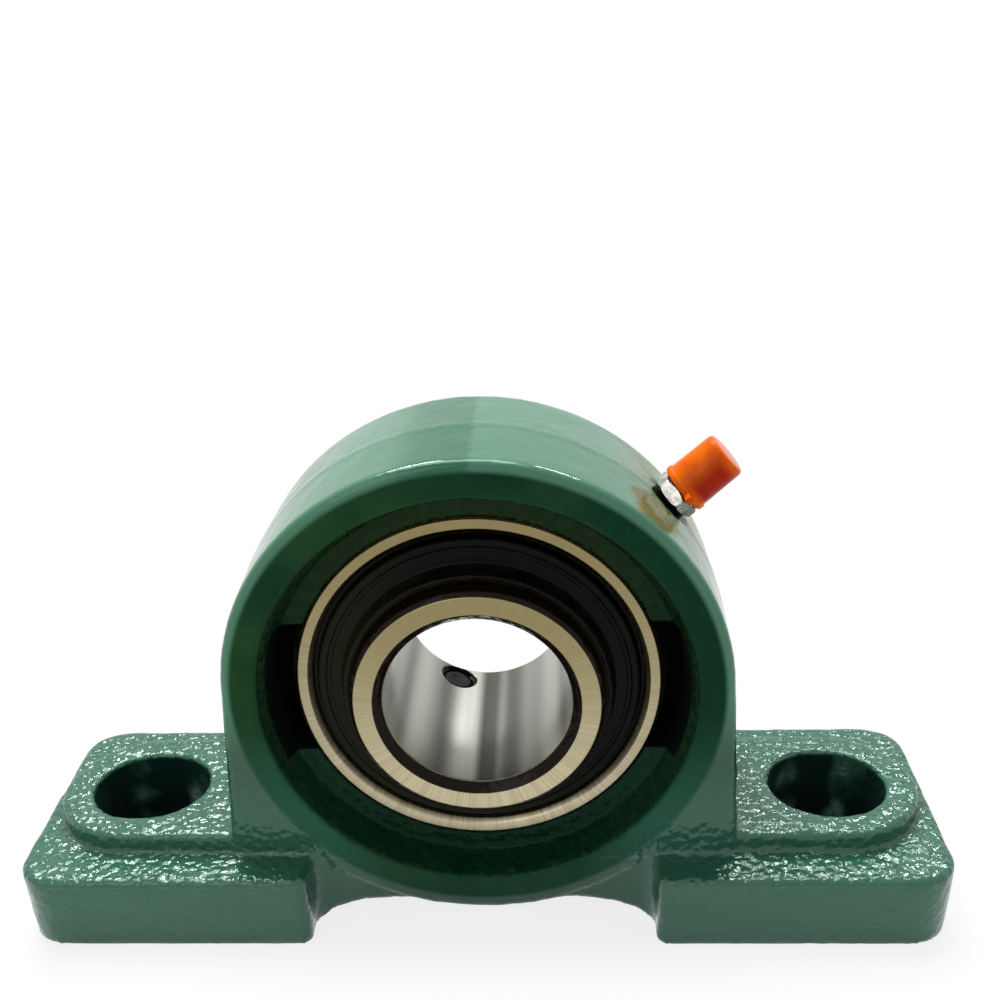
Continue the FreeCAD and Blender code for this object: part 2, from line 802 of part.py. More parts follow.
def make_cage_half(label, side):
    """Half of a pressed ribbon cage: flat lands between half-round ball pockets."""
    body = new_body(label)
    lift_to_shaft(body)
    inner = s.cage_inner_radius
    outer = s.cage_outer_radius
    pocket = s.ball_radius + s.pocket_clearance
    shell = pocket + s.cage_thickness
    reach = shell + 1
    turn_about_y(body, "Revolution", "Ribbon", ordered(side, [
        (0, inner), (s.cage_thickness, inner), (s.cage_thickness, outer), (0, outer)]))
    pocket_sphere(body, "Additive", "PocketShell", shell)
    turn_about_y(body, "Groove", "InsideTrim", ordered(1, [
        (-reach, inner - reach), (reach, inner - reach), (reach, inner), (-reach, inner)]))
    turn_about_y(body, "Groove", "OutsideTrim", ordered(1, [
        (-reach, outer), (reach, outer), (reach, outer + reach), (-reach, outer + reach)]))
    turn_about_y(body, "Groove", "MiddleTrim", ordered(-side, [
        (0, inner - 1), (reach, inner - 1), (reach, outer + 1), (0, outer + 1)]))
    pocket_sphere(body, "Subtractive", "PocketHollow", pocket)
    sketch = new_sketch(body, "RivetHoleCircle", "XZ_Plane")
    angle = s.first_ball_angle + 180 / BALL_COUNT
    add_circle(sketch, s.pitch_radius * cosine(angle), s.pitch_radius * sine(angle), s.rivet_radius)
    hole = extrude(body, "Pocket", "RivetHole", sketch, 4 * s.cage_thickness, "Symmetric")
    repeat_round(body, "RivetHoles", hole, BALL_COUNT)
    return body


def ordered(side, corners):
    """Steps of an outline, with its distances along Y turned to the given side."""
    return [to(side * as_size(y), radius) for y, radius in corners]


def make_rivets():
    """Nine rivets that hold the two cage halves, as one group."""
    body = new_body("cage_rivets")
    body.AllowCompound = True
    lift_to_shaft(body)
    grip = s.cage_thickness
    head = grip + s.rivet_head_height
    outline = [
        to(0, -head), to(s.rivet_radius, -head), to(s.rivet_head_radius, -grip), to(s.rivet_radius, -grip),
        to(s.rivet_radius, grip), to(s.rivet_head_radius, grip), to(s.rivet_radius, head), to(0, head)]
    sketch = new_sketch(body, "RivetOutline", "XY_Plane", [outline])
    angle = 180 / BALL_COUNT
    sketch.AttachmentOffset = FreeCAD.Placement(
        FreeCAD.Vector(0, 0, 0), FreeCAD.Rotation(FreeCAD.Vector(0, 1, 0), -angle))
    bind(sketch, "AttachmentOffset.Base.x", s.pitch_radius * cosine(s.first_ball_angle + angle))
    bind(sketch, "AttachmentOffset.Base.z", s.pitch_radius * sine(s.first_ball_angle + angle))
    rivet = body.newObject("PartDesign::Revolution", "Rivet")
    rivet.Profile = sketch
    rivet.ReferenceAxis = (sketch, ["V_Axis"])
    rivet.Angle = 360
    repeat_round(body, "Rivets", rivet, BALL_COUNT)
    return body


# Seals and slingers, once for each side of the bearing

def make_seal_core(label, side):
    """Steel washer of a seal, its rim bent out into the groove of the outer ring."""
    body = new_body(label)
    lift_to_shaft(body)
    start = s.seal_offset
    plate = start + s.core_thickness
    rim = start + s.seal_groove_width - s.core_fit
    outside = s.seal_groove_radius - s.core_fit
    turn_about_y(body, "Revolution", "Washer", ordered(side, [
        (start, s.core_inner_radius), (start, outside), (rim, outside), (rim, outside - s.core_thickness),
        (plate, outside - s.core_thickness), (plate, s.core_inner_radius)]))
    return body


def make_seal_rubber(label, side):
    """Rubber bonded outside the washer: a rim in the mouth of the ring and a lip on the inner ring."""
    body = new_body(label)
    lift_to_shaft(body)
    start = s.seal_offset
    plate = start + s.core_thickness
    core_rim = start + s.seal_groove_width - s.core_fit
    core_step = s.seal_groove_radius - s.core_fit - s.core_thickness
    face = plate + s.rubber_thickness
    rim_face = plate + s.rubber_rim_height
    rim_outside = s.seal_mouth_radius - s.core_fit
    rim_inside = rim_outside - s.rubber_rim_width
    lip = s.inner_radius + s.lip_clearance
    wrap = s.core_inner_radius - s.rubber_thickness
    turn_about_y(body, "Revolution", "Rubber", ordered(side, [
        (plate, core_step), (plate, s.core_inner_radius), (start, s.core_inner_radius), (start, wrap),
        (plate, lip), (plate + s.lip_width, lip), (plate + s.lip_width, wrap),
        (face, s.core_inner_radius), (face, rim_inside - s.rubber_thickness), (rim_face, rim_inside),
        (rim_face, rim_outside), (core_rim, rim_outside), (core_rim, core_step)]))
    return body


def make_slinger_plate(label, side):
    """Steel slinger: a sleeve pressed on the inner ring and a disc in front of the seal."""
    body = new_body(label)
    lift_to_shaft(body)
    start = s.slinger_offset
    plate = start + s.slinger_plate_thickness
    sleeve = s.inner_radius + s.slinger_sleeve_thickness
    end = start + s.slinger_sleeve_length
    turn_about_y(body, "Revolution", "Plate", ordered(side, [
        (start, s.inner_radius), (end, s.inner_radius), (end, sleeve), (plate, sleeve),
        (plate, s.slinger_plate_radius), (start, s.slinger_plate_radius)]))
    return body


def make_slinger_rubber(label, side):
    """Rubber face of the slinger: a flat band with a rolled rim and a collar up the sleeve."""
    body = new_body(label)
    lift_to_shaft(body)
    start = s.slinger_offset
    plate = start + s.slinger_plate_thickness
    face = plate + s.slinger_rubber_thickness
    sleeve = s.inner_radius + s.slinger_sleeve_thickness
    collar = sleeve + s.slinger_collar_thickness
    collar_end = start + s.slinger_sleeve_length
    rim = s.slinger_plate_radius + s.slinger_rim_width
    soft = s.slinger_rim_width / 2
    turn_about_y(body, "Revolution", "Band", ordered(side, [
        (plate, sleeve), (plate, s.slinger_plate_radius), (start, s.slinger_plate_radius),
        (start, rim - soft), (start + soft, rim), (face - soft, rim), (face, rim - soft),
        (face, collar + s.slinger_collar_foot / 2), (face + s.slinger_collar_foot, collar),
        (collar_end - soft, collar), (collar_end, collar - soft), (collar_end, sleeve)]))
    return body


# Set screws

def hexagon(flats):
    """Corners of a hexagon with the given distance between its flats."""
    corner = as_size(flats) / math.sqrt(3)
    return [to(corner * math.cos(math.radians(60 * n)), corner * math.sin(math.radians(60 * n)))
            if n % 3 else to(corner * (1 if n == 0 else -1), 0) for n in range(6)]


def make_set_screw(label, angle):
    """Cup-point set screw, drawn along +Z from its point and turned to its angle."""
    body = new_body(label)
    point = s.bore_radius + s.screw_recess
    bevel = s.screw_cup_depth
    outline = [
        to(0, s.screw_cup_depth), to(s.screw_cup_radius, 0), to(s.screw_radius - bevel, 0),
        to(s.screw_radius, bevel), to(s.screw_radius, s.screw_length - bevel),
        to(s.screw_radius - bevel, s.screw_length), to(0, s.screw_length)]
    sketch = new_sketch(body, "ScrewOutline", "XZ_Plane", [outline])
    screw = body.newObject("PartDesign::Revolution", "Screw")
    screw.Profile = sketch
    screw.ReferenceAxis = (sketch, ["V_Axis"])
    screw.Angle = 360
    socket_sketch = new_sketch(body, "SocketOutline", "XY_Plane", [hexagon(s.screw_socket_flats)])
    bind(socket_sketch, "AttachmentOffset.Base.z", s.screw_length)
    extrude(body, "Pocket", "Socket", socket_sketch, s.screw_socket_depth)
    body.Placement.Rotation = FreeCAD.Rotation(FreeCAD.Vector(0, 1, 0), 90 - angle.value)
    bind(body, "Placement.Rotation.Angle", 90 - angle)
    bind(body, "Placement.Base.x", point * cosine(angle))
    bind(body, "Placement.Base.y", screw_plane)
    bind(body, "Placement.Base.z", s.shaft_height + point * sine(angle))
    return body


# Grease nipple, its check ball and spring, and the dust cap

head_start = s.nipple_flats_height + s.nipple_neck_length
head_end = head_start + s.nipple_head_length
ball_centre = (head_end - s.nipple_mouth_length
               - leg(s.check_ball_radius + s.check_ball_clearance, s.nipple_mouth_radius))
spring_foot = s.nipple_foot_length - s.nipple_thread_length


def make_nipple_body():
    body = new_body("grease_nipple")
    thread = s.nipple_thread_radius
    outline = [
        to(s.nipple_foot_radius, -s.nipple_thread_length),
        to(thread - s.nipple_foot_radius, -s.nipple_thread_length),
        to(thread, s.nipple_foot_radius - s.nipple_thread_length),
        to(thread, 0),
        to(s.nipple_neck_radius, s.nipple_flats_height),
        to(s.nipple_neck_radius, head_start),
        to(s.nipple_head_radius, head_start + s.nipple_head_radius - s.nipple_neck_radius),
        to(s.nipple_tip_radius, head_end),
        to(s.nipple_mouth_radius, head_end),
        to(s.nipple_mouth_radius, head_end - s.nipple_mouth_length),
        to(s.nipple_bore_radius, head_end - s.nipple_mouth_length),
        to(s.nipple_bore_radius, spring_foot),
        to(s.nipple_foot_radius, spring_foot),
    ]
    sketch = new_sketch(body, "NippleOutline", "XZ_Plane", [outline])
    stem = body.newObject("PartDesign::Revolution", "Stem")
    stem.Profile = sketch
    stem.ReferenceAxis = (sketch, ["V_Axis"])
    stem.Angle = 360
    flats_sketch = new_sketch(body, "FlatsOutline", "XY_Plane", [hexagon(s.nipple_flats)])
    add_circle(flats_sketch, 0, 0, s.nipple_bore_radius)
    extrude(body, "Pad", "Flats", flats_sketch, s.nipple_flats_height)
    place_on_nipple_axis(body, nipple_seat_distance)
    return body


def make_check_ball():
    ball = doc.addObject("Part::Sphere", "nipple_check_ball")
    ball.Label = "nipple_check_ball"
    bind(ball, "Radius", s.check_ball_radius)
    place_on_nipple_axis(ball, nipple_seat_distance + ball_centre)
    sub_parts.append(ball)


def make_spring():
    """Coil spring between the foot of the nipple's bore and the check ball."""
    wire = s.spring_wire_radius
    start = spring_foot + wire
    # The top coil lies round the ball, where the ball is as wide as the inside of the coil.
    seat = leg(s.check_ball_radius + wire, s.spring_radius)
    length = ball_centre - seat - start
    coil = doc.addObject("Part::Helix", "SpringCoil")
    bind(coil, "Radius", s.spring_radius)
    bind(coil, "Height", length)
    bind(coil, "Pitch", length / s.spring_turns)
    section = doc.addObject("Part::Circle", "SpringSection")
    bind(section, "Radius", wire)
    section.Placement.Rotation = FreeCAD.Rotation(FreeCAD.Vector(1, 0, 0), 90)
    bind(section, "Placement.Base.x", s.spring_radius)
    spring = doc.addObject("Part::Sweep", "nipple_spring")
    spring.Label = "nipple_spring"
    spring.Sections = [section]
    spring.Spine = (coil, ["Edge1"])
    spring.Solid = True
    spring.Frenet = True
    place_on_nipple_axis(spring, nipple_seat_distance + start)
    sub_parts.append(spring)


def make_dust_cap():
    """Moulded cap over the nipple's head, with a flange and a small pull tab."""
    body = new_body("dust_cap")
    wall = s.cap_wall
    gap = s.cap_gap
    rim = s.cap_flange_radius
    height = s.cap_length
    round_off = s.cap_edge_rounding
    inside = s.nipple_head_radius + gap
    outline = [
        to(inside, 0), to(rim, 0), to(rim, s.cap_flange_height), to(s.cap_radius, s.cap_flange_height),
        to(s.cap_tip_radius, height - round_off),
        arc_to(s.cap_tip_radius - round_off, height, round_off, 1),
        to(0, height), to(0, height - wall), to(inside, height - wall)]
    sketch = new_sketch(body, "CapOutline", "XZ_Plane", [outline])
    cap = body.newObject("PartDesign::Revolution", "Cap")
    cap.Profile = sketch
    cap.ReferenceAxis = (sketch, ["V_Axis"])
    cap.Angle = 360
    tab_width = s.cap_tab_width / 2
    tab_sketch = new_sketch(body, "TabOutline", "XY_Plane", [[
        to(-tab_width, -s.cap_radius), to(-tab_width, -rim - s.cap_tab_length),
        to(tab_width, -rim - s.cap_tab_length), to(tab_width, -s.cap_radius)]])
    extrude(body, "Pad", "Tab", tab_sketch, s.cap_flange_height)
    place_on_nipple_axis(body, nipple_seat_distance + s.nipple_flats_height + s.cap_gap)
    return body


# The whole bearing

make_housing()
make_outer_ring()
make_inner_ring()
for ball_number in range(1, BALL_COUNT + 1):
    make_ball(ball_number)
make_cage_half("cage_front_half", -1)
make_cage_half("cage_back_half", 1)
make_rivets()
for place, direction in (("front", -1), ("back", 1)):
    make_seal_core(f"seal_{place}_core", direction)
    make_seal_rubber(f"seal_{place}_rubber", direction)
    make_slinger_plate(f"slinger_{place}_plate", direction)
    make_slinger_rubber(f"slinger_{place}_rubber", direction)
make_set_screw("set_screw_1", s.screw_angle)
make_set_screw("set_screw_2", s.screw_angle - s.screw_spread)
make_nipple_body()
make_check_ball()
make_spring()
make_dust_cap()
doc.recompute()

for thing in doc.Objects:
    if "Invalid" in thing.State or "Error" in thing.State:
        raise RuntimeError(f"{thing.Label} did not compute: {thing.State}")
for sketch, index, middle in drawn_arcs:
    if (arc_middle(sketch.Geometry[index]) - middle).Length > 0.01:
        raise RuntimeError(f"{sketch.Label} turned an arc the wrong way round")
for sub_part in sub_parts:
    if sub_part.Shape.isNull() or not sub_part.Shape.isValid():
        raise RuntimeError(f"{sub_part.Label} has no valid shape")

os.makedirs("parts", exist_ok=True)
for sub_part in sub_parts:
    sub_part.Shape.exportStep(f"parts/{sub_part.Label}.step")
    print(f"{sub_part.Label}: {len(sub_part.Shape.Solids)} solid, {sub_part.Shape.Volume:.1f} mm3")
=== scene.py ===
import math

import bmesh
import bpy
from mathutils import Matrix, Vector, noise


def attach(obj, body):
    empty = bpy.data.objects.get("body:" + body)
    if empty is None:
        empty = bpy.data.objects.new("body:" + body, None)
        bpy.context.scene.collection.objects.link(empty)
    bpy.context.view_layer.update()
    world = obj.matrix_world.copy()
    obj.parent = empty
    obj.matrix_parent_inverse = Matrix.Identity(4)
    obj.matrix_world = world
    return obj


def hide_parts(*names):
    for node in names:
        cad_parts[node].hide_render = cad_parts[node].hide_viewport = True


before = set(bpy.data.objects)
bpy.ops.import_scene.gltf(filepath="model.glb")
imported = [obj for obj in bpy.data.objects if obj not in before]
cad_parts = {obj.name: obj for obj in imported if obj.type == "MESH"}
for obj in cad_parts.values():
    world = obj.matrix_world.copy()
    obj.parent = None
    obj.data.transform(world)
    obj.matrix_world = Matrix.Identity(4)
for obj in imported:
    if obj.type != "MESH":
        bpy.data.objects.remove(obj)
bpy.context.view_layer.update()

# Sizes and places, in millimetres until they are put on a mesh or in a finish

MM = 0.001

SHAFT_HEIGHT = 42.9
RING_RADIUS = 40.9
RING_ROUNDING = 1.4
MOUTH_RADIUS = 34.7
SEAT_REACH = 33.3
HOLLOW_HEIGHT = 23.8
BOLT_REACH = 60.5
SLOT_WIDTH = 19.0
SLOT_LENGTH = 20.4
UNDERSIDE = 0.3

INSERT_RADIUS = 31.0
INSERT_REACH = 9.5
BORE_RADIUS = 15.0
BORE_CHAMFER = 1.5
INNER_RADIUS = 20.15
INNER_CHAMFER = 0.8
SHORT_END = 15.9
LONG_END = 22.2
PITCH_RADIUS = 23.0
BALL_RADIUS = 4.7625
BALL_PLAY = 0.015
RACE_CURVE = 4.95
OUTER_RACE_HALF = 3.96
INNER_RACE_HALF = 3.93

NIPPLE_ANGLE = 42
NIPPLE_OFFSET = 1.5
NIPPLE_SEAT = 40.3
NIPPLE_FLATS = 7.0
FLATS_HEIGHT = 3.2
CAP_GAP = 0.15
SCREW_ANGLES = {"set_screw_1": 249, "set_screw_2": 129}
SCREW_PLANE = 17.2
SCREW_POINT = 15.4
SCREW_RADIUS = 2.95
SCREW_LENGTH = 5.6
SOCKET_FLATS = 3.0

on_shaft = Matrix.Translation((0, 0, SHAFT_HEIGHT * MM))
across = Matrix.Rotation(math.radians(90), 4, "X")


def out_from_shaft(angle, distance, offset):
    """Stands a shape drawn along +Z at a distance from the shaft's axis, pointing outwards."""
    turn = Matrix.Rotation(math.radians(90 - angle), 4, "Y")
    outwards = Matrix.Translation((0, 0, distance * MM))
    return on_shaft @ Matrix.Translation((0, offset * MM, 0)) @ turn @ outwards


on_nipple = out_from_shaft(NIPPLE_ANGLE, NIPPLE_SEAT, NIPPLE_OFFSET)
on_cap = out_from_shaft(NIPPLE_ANGLE, NIPPLE_SEAT + FLATS_HEIGHT + CAP_GAP, NIPPLE_OFFSET)


# Finishes

class Finish:
    """One material, with short ways to add the nodes of its colour, gloss and relief."""

    def __init__(self, name, metallic=0.0, **gloss):
        self.material = bpy.data.materials.new(name)
        self.material.use_nodes = True
        self.tree = self.material.node_tree
        self.skin = self.tree.nodes["Principled BSDF"]
        self.skin.inputs["Metallic"].default_value = metallic
        for socket, value in gloss.items():
            self.skin.inputs[socket.replace("_", " ")].default_value = value
        self.place = self.add("TexCoord", out="Object")

    def add(self, kind, *inputs, out=0, named=None, **settings):
        node = self.tree.nodes.new("ShaderNode" + kind)
        for setting, value in settings.items():
            setattr(node, setting, value)
        for socket, value in zip(node.inputs, inputs):
            self.feed(socket, value)
        for key, value in (named or {}).items():
            self.feed(node.inputs[key], value)
        return node.outputs[out]

    def feed(self, socket, value):
        if isinstance(value, bpy.types.NodeSocket):
            self.tree.links.new(value, socket)
        else:
            socket.default_value = value

    def reckon(self, operation, first, second=0.0):
        return self.add("Math", first, second, operation=operation)

    def plus(self, first, second):
        return self.reckon("ADD", first, second)

    def less(self, first, second):
        return self.reckon("SUBTRACT", first, second)

    def times(self, first, *others):
        for other in others:
            first = self.reckon("MULTIPLY", first, other)
        return first

    def most(self, first, *others):
        for other in others:
            first = self.reckon("MAXIMUM", first, other)
        return first

    def absolute(self, value):
        return self.reckon("ABSOLUTE", value)

    def vector(self, operation, *inputs, out=0):
        return self.add("VectorMath", *inputs, operation=operation, out=out)

    def length(self, vector):
        return self.vector("LENGTH", vector, out="Value")

    def grain(self, size, detail=2.0, at=None, roughness=0.5):
        """Soft noise with patches this many millimetres wide, or thousandths of a turned direction."""
        return self.add("TexNoise", named={
            "Vector": at or self.place, "Scale": 1 / (size * MM), "Detail": detail, "Roughness": roughness})

    def cells(self, size, at=None, smoothness=None):
        """Outputs of a field of cells about this many millimetres wide, with soft borders if asked."""
        node = self.tree.nodes.new("ShaderNodeTexVoronoi")
        if smoothness:
            node.feature = "SMOOTH_F1"
            node.inputs["Smoothness"].default_value = smoothness
        node.inputs["Scale"].default_value = 1 / (size * MM)
        self.feed(node.inputs["Vector"], at or self.place)
        return node.outputs

    def between(self, value, low, high, start=0.0, end=1.0):
        """Goes smoothly from start to end while the value goes from low to high."""
        return self.add("MapRange", value, low, high, start, end, interpolation_type="SMOOTHSTEP")

    def edge(self, value, low, high, start=0.0, end=1.0):
        """The same for a place in millimetres."""
        return self.between(value, low * MM, high * MM, start, end)

    def mixed(self, share, first, second):
        return self.add("MixRGB", share, first, second)

    def parts(self, at=None):
        node = self.tree.nodes.new("ShaderNodeSeparateXYZ")
        self.feed(node.inputs[0], at or self.place)
        return node.outputs

    def from_shaft(self):
        """Direction round the shaft, the radius from its axis and the distance along it."""
        moved = self.vector("ADD", self.place, (0, 0, -SHAFT_HEIGHT * MM))
        flat = self.vector("MULTIPLY", moved, (1, 0, 1))
        return self.vector("NORMALIZE", flat), self.length(flat), self.parts(moved)[1]

    def color(self, value):
        self.feed(self.skin.inputs["Base Color"], value)

    def roughness(self, value):
        self.feed(self.skin.inputs["Roughness"], value)

    def shine(self, value):
        self.feed(self.skin.inputs["Specular IOR Level"], value)

    def relief(self, height, depth, under=None):
        """Bump whose full height is this many millimetres."""
        named = {"Height": height, "Distance": depth * MM, "Strength": 1.0}
        if under is not None:
            named["Normal"] = under
        return self.add("Bump", named=named)

    def surface(self, normal):
        self.feed(self.skin.inputs["Normal"], normal)


def tone(red, green, blue):
    """A colour written in screen values from 0 to 255."""
    return tuple(((v / 255 + 0.055) / 1.055) ** 2.4 if v > 10 else v / 255 / 12.92
                 for v in (red, green, blue)) + (1.0,)


class Enamel(Finish):
    """Green paint on the casting. Each state of it is a share from 0 to 1 at every place."""

    SPILL = (27.5, -8.5, 72.8)

    def __init__(self):
        super().__init__("green_enamel", IOR=1.55, Specular_Tint=(0.8, 1.0, 0.9, 1.0))
        x, self.y, self.z = self.parts()
        self.out = self.absolute(x)
        direction, self.radius, _ = self.from_shaft()
        self.sideways, _, self.upwards = self.parts(direction)
        self.patches = self.grain(14, 3)
        self.flecks = self.grain(1.6, 3)
        self.outside = self.edge(self.radius, RING_RADIUS - RING_ROUNDING - 1, RING_RADIUS - RING_ROUNDING)
        self.high = self.edge(self.z, 30, 45)
        self.crown = self.times(self.outside, self.high)
        self.mouth = self.edge(self.radius, MOUTH_RADIUS + 0.5, MOUTH_RADIUS - 0.3)
        self.oiled, self.streaks = self.oil()
        self.stain = self.spill()
        self.hollow = self.loading_hollows()
        self.slot = self.bolt_slots()
        self.pits = self.sand_pits()

    def oil(self):
        """Rust-proof oil round the back of both flanks, and the streaks that run through it."""
        turn = self.reckon("ARCTAN2", self.sideways, self.upwards)
        run = self.add("CombineXYZ", self.times(turn, 0.003), self.y, 0.0)
        streaks = self.between(self.grain(0.55, 3, run), 0.42, 0.64)
        slanted = self.between(self.sideways, -0.2, 0.2, 0.0, 0.003)
        reach = self.plus(self.times(self.patches, 0.008), slanted)
        back = self.edge(self.plus(self.y, reach), 3, 6.5)
        flank = self.edge(self.out, 20, 30)
        uneven = self.between(self.grain(9, 2), 0.3, 0.6, 0.35, 1.0)
        return self.times(back, flank, self.high, self.outside, uneven), streaks

    def spill(self):
        """Brown grease that dried beside the nipple."""
        away = self.length(self.vector("SUBTRACT", self.place, tuple(v * MM for v in self.SPILL)))
        ragged = self.plus(away, self.times(self.grain(2.4, 3), 0.004))
        return self.edge(ragged, 8.2, 6.0)

    # Mask of the loading hollows, painted nearly black as painted shade.
    def loading_hollows(self):
        level = self.absolute(self.less(self.z, SHAFT_HEIGHT * MM))
        half = HOLLOW_HEIGHT / 2
        within = self.edge(self.radius, MOUTH_RADIUS - 0.7, MOUTH_RADIUS - 1.0)
        return self.times(self.edge(level, half + 0.2, half - 0.2), self.edge(self.out, 26, 27), within)

    # Mask of the bolt slots, whose walls are painted dark as painted shade.
    def bolt_slots(self):
        along = self.times(self.less(self.out, BOLT_REACH * MM), SLOT_WIDTH / SLOT_LENGTH)
        from_bolt = self.length(self.add("CombineXYZ", along, self.y, 0.0))
        half = SLOT_WIDTH / 2
        return self.times(self.edge(from_bolt, half + 0.35, half + 0.1), self.edge(self.z, 16.6, 16.0))

    def sand_pits(self):
        cells = self.cells(6.5)
        chosen = self.between(self.parts(cells["Color"])[0], 0.80, 0.83)
        return self.times(self.between(cells["Distance"], 0.06, 0.03), chosen)

    def paint(self):
        mossy = self.between(self.less(self.patches, self.times(self.sideways, 0.22)), 0.4, 0.75)
        paint = self.mixed(mossy, tone(3, 50, 29), tone(30, 68, 34))
        paint = self.mixed(self.between(self.flecks, 0.5, 0.75, 0.0, 0.3), paint, tone(22, 68, 44))
        # Painted light: low down the paint is painted lighter and greyer, for the brighter light on the
        # lower faces.
        low = self.times(self.edge(self.z, 44, 16), self.edge(self.out, 14, 30, 0.25, 1.0))
        paint = self.mixed(self.times(low, 0.9), paint, tone(46, 98, 78))
        # The outside of the ring is painted paler as a painted reflection of the light from above, with a
        # painted highlight band left of its crown.
        wavy = self.plus(self.sideways, self.times(self.flecks, 0.05))
        painted_highlight = self.times(self.between(wavy, 0.045, 0.015), self.between(wavy, -0.30, -0.14))
        pale = self.mixed(painted_highlight, tone(74, 128, 100), tone(42, 106, 76))
        paint = self.mixed(self.times(self.crown, 0.9), paint, pale)
        paint = self.mixed(self.times(self.oiled, 0.6), paint, tone(70, 92, 52))
        paint = self.mixed(self.times(self.oiled, self.streaks, 0.55), paint, tone(158, 156, 84))
        paint = self.mixed(self.times(self.stain, 0.8), paint, tone(108, 100, 50))
        # The mouth is painted dusky as painted shade in the recess; its loading hollows are painted nearly
        # black and the bolt slots' walls dark, darkest at the bottom, all as painted shade.
        dusk = self.mixed(self.between(self.upwards, 0.1, 0.8), tone(6, 38, 23), tone(25, 40, 14))
        dusk = self.mixed(self.between(self.flecks, 0.45, 0.70, 0.0, 0.3), dusk, tone(36, 66, 36))
        paint = self.mixed(self.times(self.mouth, 0.85), paint, dusk)
        paint = self.mixed(self.hollow, paint, tone(1, 5, 3))
        wall = self.mixed(self.edge(self.z, 3, 14.5), tone(1, 9, 9), tone(9, 38, 33))
        paint = self.mixed(self.slot, paint, wall)
        return self.mixed(self.times(self.pits, 0.8), paint, tone(6, 22, 16))

    def gloss(self):
        """Roughness, and how strongly the paint shines: the ring's flat faces are the dullest."""
        shaded_hollows = self.most(self.hollow, self.slot)
        even = self.between(self.grain(6, 3), 0.3, 0.7, 0.09, 0.17)
        self.roughness(self.plus(even, self.times(shaded_hollows, 0.75)))
        below = self.edge(self.radius, RING_RADIUS + 0.1, RING_RADIUS - RING_ROUNDING)
        inner = self.most(self.edge(self.z, 16, 24), below)
        front = self.edge(self.absolute(self.y), 12.5, 14.0)
        faces = self.times(front, inner, self.less(1.0, self.outside))
        shine = self.less(0.48, self.times(self.most(shaded_hollows, faces, self.mouth), 0.42))
        shine = self.less(shine, self.times(self.crown, 0.16))
        self.shine(self.less(shine, self.times(self.most(self.oiled, self.stain), 0.27)))

    def hammered(self):
        """Strong relief on the tops of the feet, slighter on their fronts and on the ring."""
        bent = self.add("TexNoise", out="Color", named={
            "Vector": self.place, "Scale": 1 / (2.2 * MM), "Detail": 1.0})
        bent = self.vector("MULTIPLY", bent, (1.1 * MM, 1.1 * MM, 1.1 * MM))
        cells = self.cells(1.45, self.vector("ADD", self.place, bent), smoothness=0.55)
        domes = self.less(1.0, cells["Distance"])
        blobs = self.plus(domes, self.times(self.grain(0.8, 1.0), 0.35))
        tops = self.times(self.edge(self.z, 11.8, 13.0), self.edge(self.z, 24, 17.2))
        calm = self.plus(self.edge(self.z, 18, 44, 0.34, 0.07), self.times(self.mouth, 0.25))
        return self.relief(self.times(blobs, self.most(self.times(tops, 0.9), calm)), 0.36)

    def seam(self):
        """Where the two halves of the mould met, round the middle of the ring."""
        off_seam = self.absolute(self.plus(self.y, self.times(self.patches, 0.001)))
        return self.times(self.edge(off_seam, 1.6, 0.2), self.outside)


def green_enamel():
    enamel = Enamel()
    enamel.color(enamel.paint())
    enamel.gloss()
    holes = enamel.relief(enamel.less(1.0, enamel.pits), 0.15, enamel.hammered())
    combed = enamel.relief(enamel.times(enamel.oiled, enamel.streaks), 0.03, holes)
    enamel.surface(enamel.relief(enamel.seam(), 0.04, combed))
    return enamel.material


def ground_steel(name, light, dark, oiled=(), bore=None):
    """Ground steel with fine lines across its faces, dark where oil has collected between radii."""
    finish = Finish(name, metallic=1.0)
    direction, radius, along = finish.from_shaft()
    sideways, _, upwards = finish.parts(direction)
    rounds = finish.add("CombineXYZ", radius, along, 0.0)
    lines = finish.grain(4.5, 4, direction, 0.65)
    broad = finish.grain(60, 3, direction)
    rings = finish.grain(0.3, 2, rounds)
    tint = finish.mixed(finish.between(lines, 0.1, 0.85), dark, light)
    # Painted reflection: the faces are painted darker towards the top.
    painted_dim_top = finish.between(upwards, -1.0, 1.0)
    tint = finish.mixed(finish.times(painted_dim_top, 0.9), tint, dark)
    tint = finish.mixed(finish.between(broad, 0.3, 0.7, 0.0, 0.2), tint, dark)
    specks = finish.between(finish.grain(0.9, 2), 0.74, 0.78)
    tint = finish.mixed(finish.times(specks, 0.6), tint, tone(60, 52, 36))
    rough = finish.between(lines, 0.3, 0.7, 0.26, 0.38)
    wet = 0.0
    for low, high in oiled:
        inner = finish.edge(radius, low, low + 0.12)
        outer = finish.edge(radius, high, high - 0.12)
        wet = finish.most(wet, finish.times(inner, outer))
    if oiled:
        tint = finish.mixed(wet, tint, tone(20, 12, 6))
        finish.feed(finish.skin.inputs["Metallic"], finish.less(1.0, wet))
        finish.shine(finish.less(0.5, finish.times(wet, 0.4)))
        rough = finish.less(rough, finish.times(wet, 0.18))
    if bore:
        inside = finish.edge(radius, bore, bore - 0.02)
        tint = finish.mixed(inside, tint, reamed(finish, sideways, upwards, specks))
    finish.color(tint)
    finish.roughness(rough)
    shallow = finish.relief(lines, 0.004)
    film = finish.relief(finish.times(finish.grain(1.8, 2), wet), 0.3, shallow)
    finish.surface(finish.relief(rings, 0.003, film))
    return finish.material


